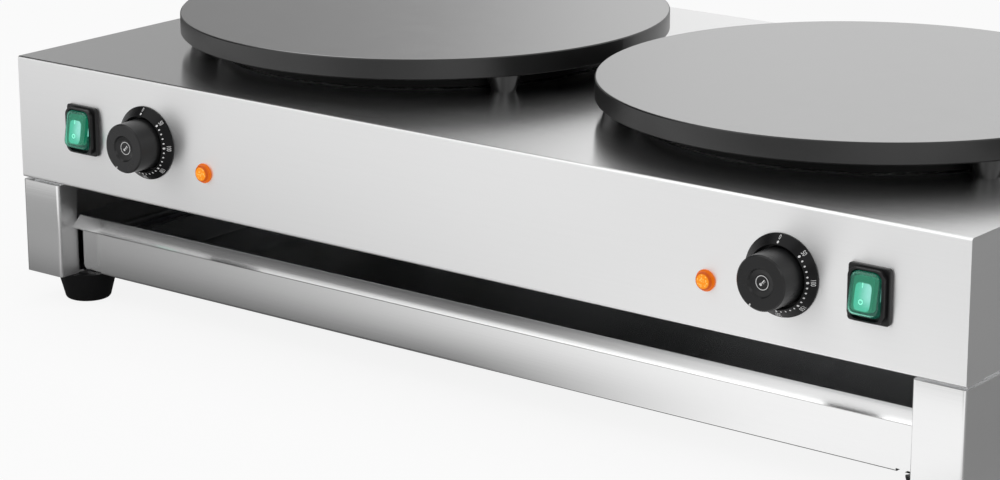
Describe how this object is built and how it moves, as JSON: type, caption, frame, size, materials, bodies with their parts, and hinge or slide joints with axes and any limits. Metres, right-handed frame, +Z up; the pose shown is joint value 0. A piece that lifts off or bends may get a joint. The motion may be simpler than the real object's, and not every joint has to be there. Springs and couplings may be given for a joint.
{
  "type": "electric crepe maker",
  "caption": "Countertop electric crepe maker: round cast-iron baking plates side by side on a steel housing with dials, lit rocker switches and pilot lamps, above a base with a drawer.",
  "frame": {"origin": "on the table, under the middle of the outline", "axes": "+X to the right seen from the front, +Y to the back, +Z up; the controls face -Y"},
  "size_m": [0.884, 0.538, 0.2355],
  "materials": {
    "stainless": "fine brushed stainless steel",
    "galvanised": "dull zinc-coated sheet",
    "cast_iron": "machined and seasoned, satin",
    "element_sheath": "heat-darkened tube",
    "insulation": "pressed mineral fibre",
    "knob_black": "satin",
    "dial_black": "satin, with pale marks",
    "switch_black": "semi-gloss",
    "boot_green": "clear soft cover, tinted",
    "rocker_green": "lit from inside",
    "lens_amber": "clear, lit from inside",
    "moulded_black": "moulded",
    "moulded_cream": "moulded",
    "stem_steel": "turned",
    "fasteners": "bright zinc",
    "foot_rubber": "matt",
    "wire_sleeve": "silicone sleeve"
  },
  "bodies": {
    "cooker": {"baking_plate_left": "cast_iron", "baking_plate_right": "cast_iron", "base_back": "stainless", "base_side_left": "stainless", "base_side_right": "stainless", "bottom_cover": "galvanised", "cable_gland": "moulded_black", "centre_studs": "fasteners", "dial_ring_left": "dial_black", "dial_ring_right": "dial_black", "earth_stud": "fasteners", "element_clamp_left": "galvanised", "element_clamp_right": "galvanised", "end_panel_left": "stainless", "end_panel_right": "stainless", "foot_back_left": "foot_rubber", "foot_back_right": "foot_rubber", "foot_front_left": "foot_rubber", "foot_front_right": "foot_rubber", "heater_pan_left": "galvanised", "heater_pan_right": "galvanised", "heating_elements_left": "element_sheath", "heating_elements_right": "element_sheath", "insulation_disc_left": "insulation", "insulation_disc_right": "insulation", "lamp_body_left": "moulded_black", "lamp_body_right": "moulded_black", "lamp_lens_left": "lens_amber", "lamp_lens_right": "lens_amber", "m4_screws": "fasteners", "m6_bolts": "fasteners", "plate_posts": "cast_iron", "runner_bracket_left": "galvanised", "runner_bracket_right": "galvanised", "slide_rail_left": "galvanised", "slide_rail_right": "galvanised", "switch_body_left": "moulded_black", "switch_body_right": "moulded_black", "switch_frame_left": "switch_black", "switch_frame_right": "switch_black", "terminal_block": "moulded_cream", "thermostat_left": "moulded_cream", "thermostat_right": "moulded_cream", "top_shell": "stainless", "wiring_left": "wire_sleeve", "wiring_right": "wire_sleeve"},
    "knob_left": {"knob_left": "knob_black", "thermostat_stem_left": "stem_steel"},
    "rocker_left": {"rocker_left": "rocker_green", "switch_boot_left": "boot_green"},
    "knob_right": {"knob_right": "knob_black", "thermostat_stem_right": "stem_steel"},
    "rocker_right": {"rocker_right": "rocker_green", "switch_boot_right": "boot_green"},
    "drawer": {"drawer_tray": "stainless", "drawer_front": "stainless", "slide_runner_left": "galvanised", "slide_runner_right": "galvanised"},
    "ball_cages": {"ball_cage_left": "galvanised", "ball_cage_right": "galvanised"}
  },
  "joints": [
    {"name": "knob_left_turn", "type": "hinge", "parent": "cooker", "child": "knob_left", "pos_m": [-0.298, -0.243, 0.1545], "axis": [0, 1, 0], "range_deg": [-207, 63]},
    {"name": "rocker_left_tilt", "type": "hinge", "parent": "cooker", "child": "rocker_left", "pos_m": [-0.368, -0.2415, 0.1545], "axis": [1, 0, 0], "range_deg": [0, 20]},
    {"name": "knob_right_turn", "type": "hinge", "parent": "cooker", "child": "knob_right", "pos_m": [0.298, -0.243, 0.1545], "axis": [0, 1, 0], "range_deg": [-207, 63]},
    {"name": "rocker_right_tilt", "type": "hinge", "parent": "cooker", "child": "rocker_right", "pos_m": [0.368, -0.2415, 0.1545], "axis": [1, 0, 0], "range_deg": [0, 20]},
    {"name": "drawer_slide", "type": "slide", "parent": "cooker", "child": "drawer", "axis": [0, -1, 0], "range_m": [0, 0.29]},
    {"name": "ball_cage_slide", "type": "slide", "parent": "cooker", "child": "ball_cages", "axis": [0, -1, 0], "range_m": [0, 0.145]}
  ],
  "couplings": [
    {"joint": "ball_cage_slide", "follows": "drawer_slide", "ratio": 0.5}
  ]
}
